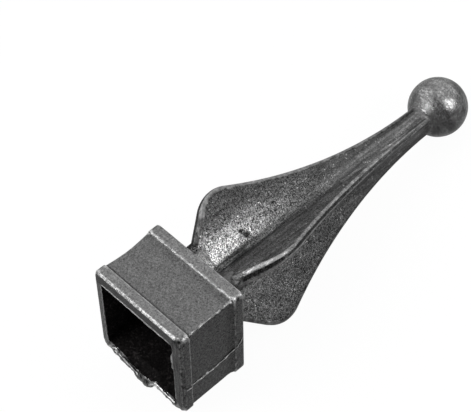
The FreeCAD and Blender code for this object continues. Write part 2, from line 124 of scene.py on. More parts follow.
class Form(Nodes):
    """A Geometry Nodes tree that ends in real faces with their material."""

    def __init__(self, name):
        super().__init__(bpy.data.node_groups.new(name, "GeometryNodeTree"))
        self.tree.is_modifier = True
        for way in ("INPUT", "OUTPUT"):
            self.tree.interface.new_socket("Geometry", in_out=way, socket_type="NodeSocketGeometry")
        self.group_in = self.nodes.new("NodeGroupInput")
        self.group_out = self.nodes.new("NodeGroupOutput")

    def size(self, name, value, kind="NodeSocketFloat"):
        self.tree.interface.new_socket(name, in_out="INPUT", socket_type=kind).default_value = value
        return self.group_in.outputs[name]

    def choose(self, test, no, yes):
        node = self.add("GeometryNodeSwitch", {"input_type": "FLOAT"}, Switch=test)
        self.feed(node.inputs["False"], no)
        self.feed(node.inputs["True"], yes)
        return node.outputs[0]

    def over(self, value, limit):
        settings = {"data_type": "FLOAT", "operation": "GREATER_THAN"}
        return self.add("FunctionNodeCompare", settings, A=value, B=limit).outputs[0]

    def stored(self, geometry, name, value):
        node = self.add("GeometryNodeStoreNamedAttribute", {"data_type": "FLOAT", "domain": "POINT"},
                        Geometry=geometry, Name=name)
        self.feed(node.inputs["Value"], value)
        return node.outputs[0]

    def finish(self, geometry, material):
        real = self.add("GeometryNodeRealizeInstances", Geometry=geometry)
        painted = self.add("GeometryNodeSetMaterial", Geometry=real.outputs[0], Material=material)
        self.feed(self.group_out.inputs[0], painted.outputs[0])


def made_by(tree, base=None, name="form", sizes=None):
    """Runs a tree on an object and gives back what it makes as a plain mesh."""
    holder = bpy.data.objects.new(name, base or bpy.data.meshes.new(name))
    bpy.context.scene.collection.objects.link(holder)
    modifier = holder.modifiers.new("nodes", "NODES")
    modifier.node_group = tree
    for item in tree.interface.items_tree:
        if item.in_out == "INPUT" and sizes and item.name in sizes:
            modifier[item.identifier] = sizes[item.name]
    bpy.context.view_layer.update()
    graph = bpy.context.evaluated_depsgraph_get()
    mesh = bpy.data.meshes.new_from_object(holder.evaluated_get(graph), depsgraph=graph)
    bpy.data.objects.remove(holder)
    return mesh


def spear_tree(iron):
    t = Form("spear_of_four_fins")
    s = {name: t.size(name, value * MM) for name, value in SPEAR.items()}
    rows = t.size("Rows", SPEAR_ROWS, "NodeSocketInt")
    columns = t.size("Columns in a quarter", QUARTER_COLUMNS, "NodeSocketInt")
    plus, minus, times, over = "ADD", "SUBTRACT", "MULTIPLY", "DIVIDE"
    m = t.sum

    grid = t.add("GeometryNodeMeshGrid", Size_X=1.0, Size_Y=1.0, Vertices_X=rows, Vertices_Y=columns)
    spot = t.add("ShaderNodeSeparateXYZ", Vector=grid.outputs["UV Map"])
    up, across = spot.outputs["X"], spot.outputs["Y"]

    # the line, the shoulder and the sweep touch, which fixes the lean and the sweep's radius
    axis = m(minus, s["Fin reach"], s["Shoulder round"])
    out_run = m(minus, axis, s["Root reach"])
    up_run = m(minus, s["Shoulder height"], s["Root height"])
    slant = m("SQRT", m(plus, m(times, out_run, out_run), m(times, up_run, up_run)))
    lean = m(plus, m("ARCTAN2", out_run, up_run), m("ARCSINE", m(over, s["Shoulder round"], slant)))
    line_top = m(minus, s["Shoulder height"], m(times, s["Shoulder round"], m("SINE", lean)))
    line_reach = m(plus, axis, m(times, s["Shoulder round"], m("COSINE", lean)))
    hollow = m(minus, s["Neck reach"], axis)
    rise = m(minus, s["Neck height"], s["Shoulder height"])
    squares = m(minus, m(plus, m(times, hollow, hollow), m(times, rise, rise)),
                m(times, s["Shoulder round"], s["Shoulder round"]))
    sweep = m(over, squares, m(times, 2.0, m(minus, s["Shoulder round"], hollow)))
    turn = m("ARCSINE", m(over, rise, m(plus, s["Shoulder round"], sweep)))
    sweep_foot = m(plus, s["Shoulder height"], m(times, s["Shoulder round"], m("SINE", turn)))

    # fin's reach at each height
    z = m(plus, s["Root height"], m(times, up, m(minus, s["Top height"], s["Root height"])))
    on_line = m(minus, line_reach, m(times, m(minus, line_top, z), m("TANGENT", lean)))
    off = m(minus, z, s["Shoulder height"])
    inside = m(minus, m(times, s["Shoulder round"], s["Shoulder round"]), m(times, off, off))
    on_shoulder = m(plus, axis, m("SQRT", m("MAXIMUM", inside, 0.0)))
    drop = m("MAXIMUM", m(minus, s["Neck height"], z), 0.0)
    on_sweep = m(minus, m(plus, s["Neck reach"], sweep),
                 m("SQRT", m("MAXIMUM", m(minus, m(times, sweep, sweep), m(times, drop, drop)), 0.0)))
    reach = t.choose(t.over(z, line_top), on_line, t.choose(t.over(z, sweep_foot), on_shoulder, on_sweep))

    # thickness falls from the foot to the shoulder, and the valley shallows up the neck
    shoulder_end = m(plus, line_top, m(times, 0.75, m(minus, sweep_foot, line_top)))
    low_share = m(minus, 1.0, m(times, 0.3, t.ramp(z, s["Root height"], line_top)))
    fall = m(minus, 1.0, t.ramp(z, line_top, shoulder_end))
    share = m(times, low_share, m("POWER", fall, 2.0))
    half = m(plus, s["Edge half"], m(times, share, m(minus, s["Root half"], s["Edge half"])))
    shallow = t.ramp(z, sweep_foot, s["Neck height"])
    floor = m(plus, s["Valley"], m(times, shallow, m(minus, s["Neck valley"], s["Valley"])))

    # section from the middle of one fin's edge to the middle of the valley
    bevel = m(plus, s["Bevel"], m(times, share, m(minus, s["Root bevel"], s["Bevel"])))
    inner = m(minus, reach, bevel)
    land = m(minus, half, bevel)
    centre = m(times, m(plus, floor, s["Valley round"]), math.sqrt(0.5))
    du, dv = m(minus, inner, centre), m(minus, half, centre)
    span = m("SQRT", m(plus, m(times, du, du), m(times, dv, dv)))
    aim = m(plus, m("ARCTAN2", m(times, dv, -1.0), m(times, du, -1.0)),
            m("ARCSINE", m(over, s["Valley round"], span)))
    run = m("SQRT", m(minus, m(times, span, span), m(times, s["Valley round"], s["Valley round"])))
    touch_u = m(plus, inner, m(times, run, m("COSINE", aim)))
    touch_v = m(plus, half, m(times, run, m("SINE", aim)))
    mirror = m(minus, 1.0, m("ABSOLUTE", m(minus, m(times, across, 2.0), 1.0)))
    on_face = t.ramp(mirror, 0.0, FACE_END)
    on_bevel = t.ramp(mirror, FACE_END, BEVEL_END)
    on_flank = t.ramp(mirror, BEVEL_END, FLANK_END)
    on_arc = t.ramp(mirror, FLANK_END, 1.0)
    flat_u = m(plus, m(minus, reach, m(times, on_bevel, bevel)),
               m(times, on_flank, m(minus, touch_u, inner)))
    flat_v = m(plus, m(plus, m(times, on_face, land), m(times, on_bevel, bevel)),
               m(times, on_flank, m(minus, touch_v, half)))
    start = m("ARCTAN2", m(minus, touch_v, centre), m(minus, touch_u, centre))
    swing = m(plus, start, m(times, on_arc, m(minus, math.radians(-135), start)))
    arc_u = m(plus, centre, m(times, s["Valley round"], m("COSINE", swing)))
    arc_v = m(plus, centre, m(times, s["Valley round"], m("SINE", swing)))
    in_arc = t.over(mirror, FLANK_END)

    # a burr stands on one bevel of each fin, above the straight part of its edge
    off_burr = m(over, m("ABSOLUTE", m(minus, mirror, BURR_AT)), BURR_WIDTH)
    near_corner = m(minus, 1.0, m("MINIMUM", 1.0, off_burr))
    second = t.over(across, 0.5)
    one_side = t.choose(second, 1.0, 0.0)
    above_foot = t.ramp(z, line_top, s["Shoulder height"])
    burr = m(times, s["Burr"], m(times, near_corner, m(times, one_side, above_foot)))
    u = t.choose(in_arc, m(plus, flat_u, burr), arc_u)
    v = t.choose(in_arc, flat_v, arc_v)
    x, y = t.choose(second, u, v), t.choose(second, v, u)

    # both ends close on the axis, inside the collar and the ball
    open_row = m(times, t.choose(t.over(up, 0.0001), 0.0, 1.0), t.choose(t.over(up, 0.9999), 1.0, 0.0))
    place = t.add("ShaderNodeCombineXYZ", X=m(times, x, open_row), Y=m(times, y, open_row), Z=z)

    # a mark for the material, where it paints highlights and shade on the edges: -1 along the middle of an
    # edge, 1 on its bevels, 0 on the flanks
    rim = m(minus, m(minus, m(times, 2.0, t.ramp(mirror, 0.04, 0.1)), t.ramp(mirror, 0.135, 0.17)), 1.0)
    marked = t.stored(grid.outputs["Mesh"], "rim_mark", rim)
    shaped = t.add("GeometryNodeSetPosition", Geometry=marked, Position=place.outputs[0])

    # four quarters round the axis
    ring = t.add("GeometryNodeMeshLine", {"mode": "OFFSET"}, Count=4)
    ring.inputs["Offset"].default_value = (0.0, 0.0, 0.0)
    number = t.add("GeometryNodeInputIndex")
    angle = m(plus, math.radians(45), m(times, number.outputs[0], math.radians(90)))
    spin = t.add("ShaderNodeCombineXYZ", Z=angle)
    quarters = t.add("GeometryNodeInstanceOnPoints", Points=ring.outputs["Mesh"],
                     Instance=shaped.outputs["Geometry"], Rotation=spin.outputs[0])
    whole = t.add("GeometryNodeRealizeInstances", Geometry=quarters.outputs[0])
    merged = t.add("GeometryNodeMergeByDistance", Geometry=whole.outputs[0], Distance=0.00001)
    outward = t.add("GeometryNodeFlipFaces", Mesh=merged.outputs[0])
    t.finish(outward.outputs[0], iron)
    return t.tree


# Feet: a short bar with a pointed nose stands on the collar under each fin's edge, cast with
# it. Two bars laid across each other make all four, and reach up inside the fins.
FOOT_REACH, FOOT_HALF, FOOT_LOW, FOOT_TOP = 9.95, 2.0, 16.2, 22.3


def bars(reach, half, low, high):
    """Two bars with pointed ends, laid across each other on the diagonals."""
    points = [(-reach, 0), (-reach + half, -half), (reach - half, -half), (reach, 0),
              (reach - half, half), (-reach + half, half)]
    made = []
    for turn in (45, 135):
        spin = Matrix.Rotation(math.radians(turn), 3, "Z")
        verts = [spin @ Vector((x, y, z)) * MM for z in (low, high) for x, y in points]
        faces = [tuple(range(5, -1, -1)), tuple(range(6, 12))]
        faces += [(i, (i + 1) % 6, 6 + (i + 1) % 6, 6 + i) for i in range(6)]
        mesh = bpy.data.meshes.new("foot")
        mesh.from_pydata(verts, [], faces)
        made.append(mesh)
    return made


feet_meshes = bars(FOOT_REACH, FOOT_HALF, FOOT_LOW, FOOT_TOP)


# Socket: a square cup of iron with a raised band at the mouth and a collar under the spear.
# One half of the mould stood off half a millimetre and the core lay a little off the axis,
# so the walls differ, and the +y side of the mouth came out ragged.
BAND, WALL, STAND_OFF = 12.65, 12.25, 0.5
WALL_DISH, PROUD = 0.4, 0.6
ROOF, ROOF_ROUND, DRAFT = 13.6, 0.9, 0.5
MOUTH_ROUND, BAND_TOP, BAND_ROUND = 0.3, 2.64, 0.16
COVE_FOOT, COVE_HEIGHT, COVE_DEPTH = 13.3, 1.1, 0.14
COLLAR_TOP, COLLAR_ROUND = 17.2, 0.22
# sides of the hollow, out from the axis
BORE = {"left": 10.95, "right": 9.95, "low": 9.55, "high": 11.05}
# how far the torn side stands out along x: the lip outside and the scoop inside
LIP = [(-12.3, 0.2), (-11.6, 0.46), (-9.6, 0.76), (-7.4, 1.9), (-5.6, 2.1), (-4.1, 1.9), (-3.4, 2.2),
       (-2.7, 3.3), (-1.2, 3.75), (0.4, 3.65), (1.6, 2.8), (2.5, 1.0), (3.2, 0.1), (5.6, 0.15), (8.0, 0.76),
       (9.9, 1.04), (11.2, 0.24), (12.2, 0.0)]
SCOOP = [(-7.2, 0.0), (-6.4, 0.15), (-4.6, 1.35), (-1.1, 2.15), (1.9, 1.55), (3.5, 0.0), (4.0, 0.0)]
SIDE_POINTS, CORNER_POINTS = 66, 6
TORN_HEIGHT, TORN_PUSH, TORN_RISE, LIP_HEIGHT = 2.3, 0.16, 0.13, 2.4
# how far the torn crest rises, from the inside of the mouth's face to its outside
CREST = [(0.0, 0.4), (0.2, 0.12), (0.42, -0.08), (0.6, 0.0), (0.8, 0.12), (1.0, 0.35)]


def plan(left, right, low, high, corner):
    """Points round a square with round corners, its four sides set out from the axis."""
    centres = [(right - corner, high - corner), (-left + corner, high - corner),
               (-left + corner, -low + corner), (right - corner, -low + corner)]
    ring = []
    for number, (cx, cy) in enumerate(centres):
        for step in range(CORNER_POINTS + 1):
            a = math.radians(90 * number + 90 * step / CORNER_POINTS)
            ring.append((cx + corner * math.cos(a), cy + corner * math.sin(a)))
        nx, ny = centres[(number + 1) % 4]
        a = math.radians(90 * (number + 1))
        here = np.array(ring[-1])
        there = np.array((nx + corner * math.cos(a), ny + corner * math.sin(a)))
        for step in range(1, SIDE_POINTS):
            ring.append(tuple(here + (there - here) * step / SIDE_POINTS))
    return np.array(ring)


def stacked(rings, name):
    """A closed skin over a stack of rings with the same number of points."""
    count = len(rings[0])
    verts = [tuple(point * MM) for ring in rings for point in ring]
    faces = []
    for level in range(len(rings) - 1):
        for i in range(count):
            j = (i + 1) % count
            faces.append((level * count + i, level * count + j,
                          (level + 1) * count + j, (level + 1) * count + i))
    first, last = len(verts), len(verts) + 1
    verts += [tuple(ring.mean(axis=0) * MM) for ring in (rings[0], rings[-1])]
    top = (len(rings) - 1) * count
    for i in range(count):
        j = (i + 1) % count
        faces.append((first, j, i))
        faces.append((last, top + i, top + j))
    mesh = bpy.data.meshes.new(name)
    mesh.from_pydata(verts, [], faces)
    mesh.update()
    return mesh


def level_ring(ring, z):
    return np.column_stack([ring, np.full(len(ring), z)])


def torn(x, start):
    """An uneven line of small tears, from -1 to 1, the same at each run."""
    return (0.45 * np.sin(2.1 * x + start) + 0.3 * np.sin(5.3 * x + 2.4 * start + 1.0)
            + 0.25 * np.sin(11.7 * x + 0.7 * start + 2.0))


def socket_mesh():
    along = np.linspace(-13, 13, 131)
    lip = np.interp(along, *np.array(LIP).T)
    scoop = np.interp(along, *np.array(SCOOP).T)
    crest_share, crest_rise = np.array(CREST).T

    def ragged(ring, push, across):
        """Pushes the +y side of a ring out and, near the mouth, draws it up into a torn crest."""
        ring = ring.copy()
        side = np.clip((ring[:, 1] - ring[:, 1].max() + 1.7) / 1.1, 0, 1)
        x, z = ring[:, 0].copy(), ring[:, 2].copy()
        near = np.clip(1 - z / TORN_HEIGHT, 0, 1) ** 2
        ring[:, 1] += side * np.interp(x, along, push) + side * near * TORN_PUSH * torn(x, across)
        rise = np.interp(across, crest_share, crest_rise)
        ring[:, 2] += side * near * (rise + TORN_RISE * torn(x * 1.3, across + 4.0))
        return ring

    def bore(z, grow=0.0, corner=0.9):
        draft = z * math.tan(math.radians(DRAFT))
        sides = {k: value - draft + grow for k, value in BORE.items()}
        ring = level_ring(plan(corner=max(corner + grow, 0.2), **sides), z)
        # a scrap of flash on the inside of the +x wall
        on_wall = ring[:, 0] > sides["right"] - 0.05
        scrap = np.clip(1 - np.abs(ring[:, 1] + 3.6) / 3.2, 0, 1) ** 0.5 * on_wall
        ring[:, 0] -= scrap * max(0.0, 1 - z / 0.9) * (0.35 + 0.25 * torn(ring[:, 1], 1.0))
        return ring

    def outside(half, corner, z, dish=0.0, proud=0.0):
        """The -x side may be dished, and the +y side stands proud toward +x."""
        ring = level_ring(plan(half - dish, half, half, half + STAND_OFF, corner), z)
        far = np.clip((ring[:, 1] - half + 1.2) / 1.0, 0, 1)
        ring[:, 1] += proud * far * np.clip((ring[:, 0] + 3.0) / 14.0, 0, 1)
        return ring

    # the hollow, from the middle of its roof down to the mouth
    rings = []
    quarter = [math.radians(a) for a in (0, 30, 60, 90)]
    middle = np.array((0, 0, ROOF))
    for share in (0.05, 0.2, 0.4, 0.6, 0.75, 0.88):
        rings.append(middle + (bore(ROOF) - middle) * share)
    for r in quarter:
        ring = bore(ROOF, grow=-ROOF_ROUND + ROOF_ROUND * math.sin(r))
        ring[:, 2] += -ROOF_ROUND + ROOF_ROUND * math.cos(r)
        rings.append(ring)
    for z in np.arange(12.2, 2.5, -0.55):
        rings.append(bore(z))
    for z in np.arange(TORN_HEIGHT, 0.41, -0.27):
        rings.append(ragged(bore(z), scoop * (1 - (z / TORN_HEIGHT) ** 3), 0.0))
    for r in quarter:
        ring = bore(MOUTH_ROUND - MOUTH_ROUND * math.sin(r), grow=MOUTH_ROUND - MOUTH_ROUND * math.cos(r))
        rings.append(ragged(ring, scoop, 0.0))

    # the mouth's face, and the band up to its round top edge
    mouth_in = bore(0.0, grow=MOUTH_ROUND)
    mouth_out = outside(BAND - 0.4, 0.95, 0.0)
    for share in (0.14, 0.28, 0.42, 0.56, 0.7, 0.85):
        ring = mouth_in + (mouth_out - mouth_in) * share
        rings.append(ragged(ring, scoop * (1 - share) + lip * share, share))
    for inset, z in ((0.42, 0.0), (0.37, 0.03), (0.2, 0.27), (0.04, 0.5), (0.0, 0.6)):
        rings.append(ragged(outside(BAND - inset, 1.2 - 0.4 * inset, z), lip, 1.0))
    for z in (0.85, 1.15, 1.5, 1.85, 2.2):
        rings.append(ragged(outside(BAND, 1.2, z), lip * (1 - 0.25 * (z / LIP_HEIGHT) ** 2), 1.0))
    for a, share in ((0, 0.68), (45, 0.62), (90, 0.5)):
        r = math.radians(a)
        half = BAND - BAND_ROUND + BAND_ROUND * math.cos(r)
        ring = outside(half, 1.2, BAND_TOP - BAND_ROUND + BAND_ROUND * math.sin(r))
        rings.append(ragged(ring, lip * share, 1.0))

    # the wall, dished on one side, the cove under the collar, the collar and its top
    for share, z in ((0.3, 2.68), (0.0, 2.78)):
        rings.append(ragged(outside(WALL, 0.6, z), lip * share, 1.0))
    for z in np.arange(3.1, 13.2, 0.46):
        rings.append(outside(WALL, 0.6, z, dish=WALL_DISH * math.sin(math.pi * (z - 2.7) / 10.8)))
    for share in (0.3, 0.7, 1.0):
        half, height = WALL + COVE_DEPTH * share, COVE_FOOT + COVE_HEIGHT * share
        rings.append(outside(half, 0.7, height, proud=0.5 * PROUD * share))
    for inset, z in ((0.22, 14.5), (0.1, 14.64), (0.0, 14.78)):
        rings.append(outside(BAND - inset, 1.2, z, proud=0.55))
    for z in (15.1, 15.5, 15.9, 16.3, 16.65):
        rings.append(outside(BAND, 1.2, z, proud=PROUD))
    for r in quarter:
        half = BAND - COLLAR_ROUND + COLLAR_ROUND * math.cos(r)
        rings.append(outside(half, 1.2, COLLAR_TOP - COLLAR_ROUND + COLLAR_ROUND * math.sin(r), proud=PROUD))
    top, middle = rings[-1], np.array((0, 0, COLLAR_TOP))
    for share in (0.965, 0.93, 0.895, 0.86, 0.82, 0.78, 0.74, 0.7,
                  0.65, 0.6, 0.54, 0.48, 0.4, 0.3, 0.18, 0.06):
        rings.append(middle + (top - middle) * share)
    return stacked(rings, "socket")


# Flash: thin beads of iron that ran out between the halves of the mould, up both sides of
# the socket as its parting line, and round the core at the mouth and along the torn side.
# They were left on, apart from a few touches of the file.
BEADS = {
    # name: radius, how dark it stays, points
    "right_line": (0.17, 0.0, [
        (12.62, 4.9, 0.9), (12.66, 5.1, 2.4), (12.27, 5.29, 3.0), (12.27, 5.48, 7.35),
        (12.27, 5.43, 10.75), (12.29, 4.92, 13.05), (12.62, 4.05, 15.36), (12.62, 2.29, 16.9)]),
    "left_line": (0.15, 0.0, [
        (-12.66, 5.6, 1.2), (-12.27, 5.4, 3.1), (-12.27, 5.1, 8.2), (-12.27, 5.3, 12.6),
        (-12.64, 5.2, 15.2), (-12.64, 5.2, 16.6)]),
    "mouth_flash": (0.22, 0.2, [
        (-9.4, 12.3, 0.15), (-8.0, 12.2, 0.1), (-6.4, 12.4, 0.1), (-4.6, 13.0, 0.1),
        (-2.2, 13.8, 0.15), (-0.4, 14.6, 0.3)]),
    "top_flash": (0.13, 0.36, [
        (-10.7, -9.35, 0.12), (-6.0, -9.4, 0.1), (0.0, -9.35, 0.12), (6.0, -9.4, 0.1),
        (9.9, -9.4, 0.14)]),
    "left_flash": (0.13, 0.2, [
        (-11.05, -8.6, 0.12), (-11.1, 0.0, 0.1), (-11.1, 8.0, 0.12), (-10.9, 10.8, 0.2)]),
    "ring_lump": (0.2, 0.15, [
        (-9.7, 12.6, 0.12), (-9.5, 11.7, 0.12), (-8.8, 11.35, 0.12), (-8.0, 11.6, 0.12),
        (-7.7, 12.3, 0.12), (-8.1, 13.0, 0.12), (-9.0, 13.2, 0.12), (-9.7, 12.6, 0.12)]),
    "drip": (0.32, 0.4, [
        (0.3, 14.0, 0.2), (1.0, 14.4, 0.15), (1.7, 14.4, 0.2)]),
    "scrap_line": (0.13, 0.05, [
        (9.95, -6.2, 0.25), (9.6, -5.4, 0.2), (9.5, -4.2, 0.18), (9.65, -2.7, 0.2),
        (9.6, -1.3, 0.2), (9.95, -0.4, 0.25)]),
    "corner_flash": (0.24, 0.2, [
        (3.6, 11.2, 0.2), (5.6, 11.4, 0.12), (8.2, 11.8, 0.12), (9.8, 11.8, 0.2)]),
}


def bead_tree(iron):
    t = Form("bead_of_flash")
    radius = t.size("Radius", 0.17 * MM)
    step = t.size("Step", 0.22 * MM)
    wander = t.size("Wander", 0.2 * MM)
    swell = t.size("Swell", 1.2)
    darkness = t.size("Darkness", 0.4)
    line = t.add("GeometryNodeMeshToCurve", Mesh=t.group_in.outputs["Geometry"])
    even = t.add("GeometryNodeResampleCurve", {"mode": "LENGTH"}, Curve=line.outputs[0], Length=step)
    place = t.add("GeometryNodeInputPosition")
    noise = t.add("ShaderNodeTexNoise", Vector=place.outputs[0], Scale=900.0, Detail=2.0)
    centred = t.add("ShaderNodeVectorMath", {"operation": "SUBTRACT"}, Vector=noise.outputs["Color"])
    centred.inputs[1].default_value = (0.5, 0.5, 0.5)
    shift = t.add("ShaderNodeVectorMath", {"operation": "SCALE"}, Vector=centred.outputs[0],
                  Scale=t.times(wander, 2.0))
    moved = t.add("GeometryNodeSetPosition", Geometry=even.outputs[0], Offset=shift.outputs[0])
    uneven = t.more(swell, t.sum("SUBTRACT", noise.outputs["Fac"], 0.5))
    sized = t.add("GeometryNodeSetCurveRadius", Curve=moved.outputs[0], Radius=t.times(radius, uneven))
    ring = t.add("GeometryNodeCurvePrimitiveCircle", Resolution=7, Radius=1.0)
    skin = t.add("GeometryNodeCurveToMesh", Curve=sized.outputs[0], Profile_Curve=ring.outputs[0])
    skin.inputs["Fill Caps"].default_value = True
    if "Scale" in skin.inputs:
        t.feed(skin.inputs["Scale"], t.times(radius, uneven))
    joined = t.add("GeometryNodeMergeByDistance", Geometry=skin.outputs[0], Distance=0.000001)
    t.finish(t.stored(joined.outputs[0], "rim_mark", t.times(darkness, -1.0)), iron)
    return t.tree


def bead_meshes(iron):
    tree = bead_tree(iron)
    made = []
    for name, (radius, darkness, points) in BEADS.items():
        path = bpy.data.meshes.new(name)
        steps = [(i, i + 1) for i in range(len(points) - 1)]
        path.from_pydata([tuple(v * MM for v in point) for point in points], steps, [])
        made.append(made_by(tree, base=path, name=name, sizes={"Radius": radius * MM, "Darkness": darkness}))
    return made


# Ball: it was turned in the pattern, with a small cove under it where the neck runs in, and
# is cast with the rest. A cone below the cove reaches into the neck.
BALL_HEIGHT, BALL_RADIUS, BALL_COLUMNS, BALL_ROWS = 91.6, 6.86, 96, 42
COVE, COVE_START, CONE = 1.0, 3.3, 0.95


def ball_mesh():
    away = np.linspace(0, 2 * math.pi, BALL_COLUMNS, endpoint=False)
    circle = np.stack([np.cos(away), np.sin(away), np.zeros(BALL_COLUMNS)], axis=1)
    cove_z = BALL_HEIGHT - math.sqrt((BALL_RADIUS + COVE) ** 2 - (COVE_START + COVE) ** 2)
    tilt = math.atan2(BALL_HEIGHT - cove_z, COVE_START + COVE)
    profile = [(0.6, cove_z - CONE), (1.4, cove_z - CONE), (COVE_START - CONE, cove_z - CONE),
               (COVE_START - CONE / 2, cove_z - CONE / 2)]
    for a in np.linspace(math.pi, math.pi - tilt, 5):
        profile.append((COVE_START + COVE + COVE * math.cos(a), cove_z + COVE * math.sin(a)))
    for a in np.linspace(-tilt, math.radians(87), BALL_ROWS)[1:]:
        profile.append((BALL_RADIUS * math.cos(a), BALL_HEIGHT + BALL_RADIUS * math.sin(a)))
    return stacked([circle * r + np.array((0, 0, z)) for r, z in profile], "ball")


# Casting: all the forms above were poured as one in a sand mould, so they are united into
# a single closed skin of dark raw iron. It is grainy and pitted, its edges are worn bright,
# the mouth is filed, and the hollow keeps the black skin of its core. Painted highlights and
# painted shade are laid into its colour as well, as marked below.
PITS = [
    # name, place, radius and depth
    ("Corner pit", (12.1, -12.0, 0.0), 1.3, 0.8),
    ("Fin pit", (-1.9, -4.55, 32.4), 0.95, 0.4),
    ("Second fin pit", (-2.9, -5.3, 31.7), 0.75, 0.25),
    ("Far fin pit", (5.2, 9.0, 44.0), 0.6, 0.25),
]
SHARP_ANGLE = 50
# the box round the walls and the roof of the hollow, which have the core's skin
CORE_LOW, CORE_HIGH = (-11.2, -9.75, 0.35), (10.15, 11.2, 13.9)
# size of the crystals and depth of the grain, then the least and most of tone and roughness
CRYSTAL, CORE_CRYSTAL = 0.22, 0.4
SKIN_DEPTH, CORE_DEPTH = 0.12, 0.3
SOCKET_TONE, SPEAR_TONE, CORE_TONE = (0.108, 0.132), (0.088, 0.14), 0.012
ROUGHNESS, BALL_ROUGHNESS, CORE_ROUGHNESS = (0.33, 0.43), 0.2, 0.8
BRIGHT_METAL = 0.65
HIGHLIGHT_SPOTS = [
    # places painted with highlights, and their radius: a foot's nose, and beside the corner pit
    ((6.9, -6.9, 21.2), 1.3), ((11.6, -12.5, 0.2), 0.9), ((12.5, -12.3, 1.2), 0.9),
]


def united(first, others):
    """One closed mesh of several that run into each other."""
    base = bpy.data.objects.new("casting_union", first)
    bpy.context.scene.collection.objects.link(base)
    helpers = []
    for mesh in others:
        helper = bpy.data.objects.new("casting_part", mesh)
        bpy.context.scene.collection.objects.link(helper)
        union = base.modifiers.new("union", "BOOLEAN")
        union.operation = "UNION"
        union.solver = "MANIFOLD"
        union.object = helper
        helpers.append(helper)
    bpy.context.view_layer.update()
    graph = bpy.context.evaluated_depsgraph_get()
    mesh = bpy.data.meshes.new_from_object(base.evaluated_get(graph), depsgraph=graph)
    for helper in helpers + [base]:
        bpy.data.objects.remove(helper)
    return mesh


def skin_tree(iron):
    """Waves and pits on the skin, and how much of an edge or of an inside corner each spot is."""
    t = Form("cast_skin")
    wave = t.size("Wave", 0.05 * MM)
    wave_length = t.size("Wave length", 4.0 * MM)
    crumb = t.size("Crumb", 0.02 * MM)
    crumb_length = t.size("Crumb length", 1.0 * MM)
    blur = t.size("Blur", 2, "NodeSocketInt")
    place = t.add("GeometryNodeInputPosition")
    angle = t.add("GeometryNodeInputMeshEdgeAngle")
    skin = t.group_in.outputs["Geometry"]
    for name, sign in (("edge_wear", 1.0), ("inside_corner_shade", -1.0)):
        bent = t.greatest(t.times(angle.outputs["Signed Angle"], sign), 0.0)
        on_edges = t.add("GeometryNodeFieldOnDomain", {"domain": "EDGE"}, Value=bent)
        soft = t.add("GeometryNodeBlurAttribute", Value=on_edges.outputs[0], Iterations=blur)
        skin = t.stored(skin, name, soft.outputs[0])
    height, hollow = 0.0, 0.0
    for size, length in ((wave, wave_length), (crumb, crumb_length)):
        noise = t.add("ShaderNodeTexNoise", Vector=place.outputs[0], Scale=t.sum("DIVIDE", 1.0, length),
                      Detail=2.0)
        height = t.sum("ADD", height, t.times(size, t.sum("SUBTRACT", noise.outputs["Fac"], 0.5)))
    for name, spot, radius, depth in PITS:
        centre = t.size(name, tuple(v * MM for v in spot), "NodeSocketVector")
        share = t.less(t.rise(t.gap(place.outputs[0], centre), 0.25 * radius, radius), 1.0)
        height = t.sum("SUBTRACT", height, t.times(share, depth * MM))
        hollow = t.sum("ADD", hollow, share)
    normal = t.add("GeometryNodeInputNormal")
    move = t.add("ShaderNodeVectorMath", {"operation": "SCALE"}, Vector=normal.outputs[0], Scale=height)
    skin = t.stored(skin, "pitted", hollow)
    waved = t.add("GeometryNodeSetPosition", Geometry=skin, Offset=move.outputs[0])
    t.finish(waved.outputs[0], iron)
    return t.tree


def shader_group(name, inputs, outputs):
    tree = bpy.data.node_groups.new(name, "ShaderNodeTree")
    for label, kind, value in inputs:
        item = tree.interface.new_socket(label, in_out="INPUT", socket_type=kind)
        if value is not None:
            item.default_value = value
    for label in outputs:
        tree.interface.new_socket(label, in_out="OUTPUT", socket_type="NodeSocketFloat")
    s = Nodes(tree)
    return s, s.add("NodeGroupInput").outputs, s.add("NodeGroupOutput").inputs


def cast_grain():
    """Crystals, soft grain, specks, sand pits and mottling of a raw casting."""
    s, given, made = shader_group(
        "cast_grain", [("Place", "NodeSocketVector", None), ("Grain", "NodeSocketFloat", 0.3 * MM)],
        ["Height", "Crystal", "Soft", "Specks", "Pits", "Mottle"])
    scale = s.sum("DIVIDE", 1.0, given["Grain"])
    cells = s.add("ShaderNodeTexVoronoi", {"feature": "F1"}, Vector=given["Place"], Scale=scale)
    tone = s.add("ShaderNodeSeparateColor", Color=cells.outputs["Color"])

    def cloud(share, detail, roughness):
        return s.add("ShaderNodeTexNoise", Vector=given["Place"], Scale=s.times(scale, share),
                     Detail=detail, Roughness=roughness).outputs["Fac"]

    fine, soft, coarse = cloud(0.8, 2.0, 0.6), cloud(0.45, 3.0, 0.75), cloud(0.09, 5.0, 0.62)
    s.feed(made["Height"], s.sum("ADD", fine, s.times(tone.outputs[0], 0.35)))
    s.feed(made["Crystal"], tone.outputs[1])
    s.feed(made["Soft"], s.ramp(soft, 0.3, 0.7))
    s.feed(made["Specks"], s.times(s.ramp(tone.outputs[2], 0.93, 0.99), s.ramp(coarse, 0.42, 0.6)))
    s.feed(made["Pits"], s.ramp(fine, 0.4, 0.27))
    s.feed(made["Mottle"], s.ramp(coarse, 0.3, 0.7))
    return s.tree


